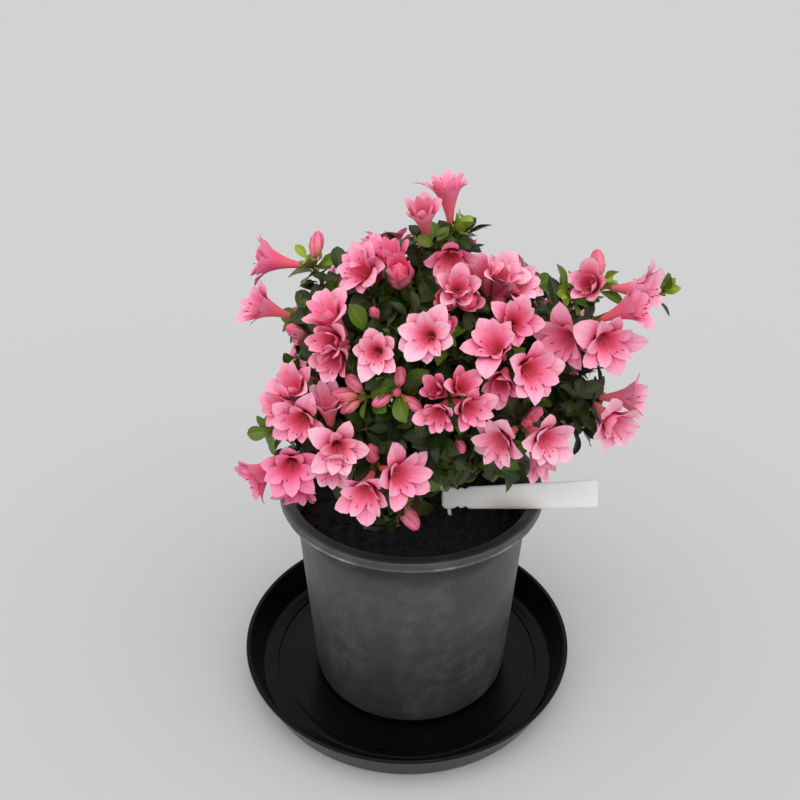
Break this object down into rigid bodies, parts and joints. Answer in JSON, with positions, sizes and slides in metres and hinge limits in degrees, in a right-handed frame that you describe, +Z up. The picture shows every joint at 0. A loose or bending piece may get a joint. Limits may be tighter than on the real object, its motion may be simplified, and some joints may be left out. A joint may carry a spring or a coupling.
{
  "type": "potted azalea",
  "caption": "Flowering azalea shrub in a round nursery pot on a saucer, with short branching stems, pink trumpet blooms, small dark leaves and a blank tie-on label.",
  "frame": {"origin": "on the pot's axis, level with the saucer's flat underside", "axes": "+Z up along the pot's axis; -Y towards the viewer, +X to the viewer's right, as pictured"},
  "size_m": [0.2466, 0.2148, 0.3332],
  "materials": {
    "saucer": "black moulded plastic, a little worn",
    "pot": "charcoal grey plastic with pale scuffs",
    "soil": "dark moist compost",
    "bark": "thin red-brown bark",
    "spray": "pink petals and dark green leaves",
    "label": "white plastic strip, blank"
  },
  "bodies": {
    "root": {"saucer": "saucer", "pot": "pot", "soil": "soil", "trunk": "bark", "label": "label", "bough_back_left": "bark", "bough_back_right": "bark", "bough_crest": "bark", "bough_front": "bark", "bough_left": "bark", "bough_low_left": "bark", "bough_low_right": "bark", "bough_middle": "bark", "bough_right": "bark", "branch_back_left_2": "bark", "branch_back_left_3": "bark", "branch_back_left_4": "bark", "branch_back_left_5": "bark", "branch_back_right_2": "bark", "branch_back_right_3": "bark", "branch_back_right_4": "bark", "branch_crest_front": "bark", "branch_crest_right": "bark", "branch_far_left": "bark", "branch_far_right": "bark", "branch_foot": "bark", "branch_front": "bark", "branch_heart": "bark", "branch_low_front": "bark", "branch_low_left": "bark", "branch_low_right": "bark", "branch_mid_left": "bark", "spray_back_left_1": "spray", "spray_back_left_2": "spray", "spray_back_left_3": "spray", "spray_back_left_4": "spray", "spray_back_left_5": "spray", "spray_back_right_1": "spray", "spray_back_right_2": "spray", "spray_back_right_3": "spray", "spray_back_right_4": "spray", "spray_centre": "spray", "spray_crest_front": "spray", "spray_crest_left": "spray", "spray_crest_right": "spray", "spray_far_left": "spray", "spray_far_right": "spray", "spray_foot": "spray", "spray_front": "spray", "spray_front_left": "spray", "spray_heart": "spray", "spray_left": "spray", "spray_low_front": "spray", "spray_low_left": "spray", "spray_low_middle": "spray", "spray_low_right": "spray", "spray_mid_left": "spray", "spray_right": "spray", "spray_top": "spray"}
  },
  "joints": []
}
